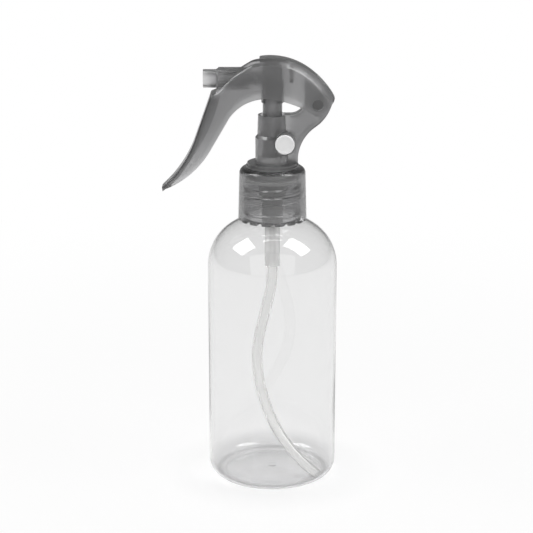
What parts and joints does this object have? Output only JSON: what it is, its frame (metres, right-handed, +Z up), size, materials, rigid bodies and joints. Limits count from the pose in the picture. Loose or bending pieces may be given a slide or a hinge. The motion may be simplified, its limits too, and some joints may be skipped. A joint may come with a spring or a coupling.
{
  "type": "hand mister",
  "caption": "Hand mister: clear round bottle with screw-on mini trigger sprayer, hooded finger lever, adjustable nozzle, push lock and curved dip tube.",
  "frame": {"origin": "centre of the bottle's base, on the surface it stands on", "axes": "+Z up along the bottle's axis, nozzle towards -X, lever hinge towards +X, lock button towards -Y"},
  "size_m": [0.0725, 0.054, 0.1801],
  "materials": {
    "clear_pet": "clear gloss plastic",
    "grey_translucent": "translucent smoke-grey gloss",
    "natural_plastic": "natural translucent, satin",
    "white_plastic": "white satin",
    "seal_white": "soft matt",
    "steel": "bright"
  },
  "bodies": {
    "bottle": {"bottle": "clear_pet"},
    "sprayer": {"sprayer_body": "grey_translucent", "pump_housing": "natural_plastic", "guide_collar": "natural_plastic", "stem_wiper": "seal_white", "neck_gasket": "seal_white", "dip_tube": "natural_plastic", "return_spring": "steel"},
    "closure": {"closure": "grey_translucent"},
    "plunger": {"stem": "grey_translucent", "spray_head": "grey_translucent", "piston_rod": "natural_plastic", "piston": "natural_plastic", "swirl_insert": "white_plastic"},
    "nozzle": {"nozzle_cap": "grey_translucent"},
    "lever": {"trigger": "grey_translucent"},
    "lock": {"lock_button": "white_plastic"},
    "inlet_valve": {"inlet_ball": "steel"},
    "outlet_valve": {"outlet_ball": "steel"}
  },
  "joints": [
    {"name": "sprayer_lift", "type": "slide", "parent": "bottle", "child": "sprayer", "axis": [0, 0, 1], "range_m": [0, 0.00477]},
    {"name": "closure_turn", "type": "hinge", "parent": "sprayer", "child": "closure", "pos_m": [0, 0, 0.12], "axis": [0, 0, 1], "range_deg": [0, 540]},
    {"name": "lever_pull", "type": "hinge", "parent": "sprayer", "child": "lever", "pos_m": [0.0184, 0, 0.1614], "axis": [0, -1, 0], "range_deg": [0, 15], "stiffness_Nm_per_rad": 0.12, "springref_deg": -11.46},
    {"name": "plunger_press", "type": "slide", "parent": "sprayer", "child": "plunger", "axis": [0, 0, -1], "range_m": [0, 0.00502], "deforming": ["return_spring"]},
    {"name": "nozzle_turn", "type": "hinge", "parent": "plunger", "child": "nozzle", "pos_m": [-0.0157, 0, 0.1712], "axis": [-1, 0, 0], "range_deg": [0, 180]},
    {"name": "lock_push", "type": "slide", "parent": "sprayer", "child": "lock", "axis": [0, -1, 0], "range_m": [-0.0022, 0]},
    {"name": "inlet_lift", "type": "slide", "parent": "sprayer", "child": "inlet_valve", "axis": [0, 0, 1], "range_m": [0, 0.001]},
    {"name": "outlet_lift", "type": "slide", "parent": "plunger", "child": "outlet_valve", "axis": [0, 0, 1], "range_m": [0, 0.0012]}
  ],
  "couplings": [
    {"joint": "sprayer_lift", "follows": "closure_turn", "m_per_rad": 0.00050532},
    {"joint": "plunger_press", "follows": "lever_pull", "m_per_rad": 0.019184}
  ]
}
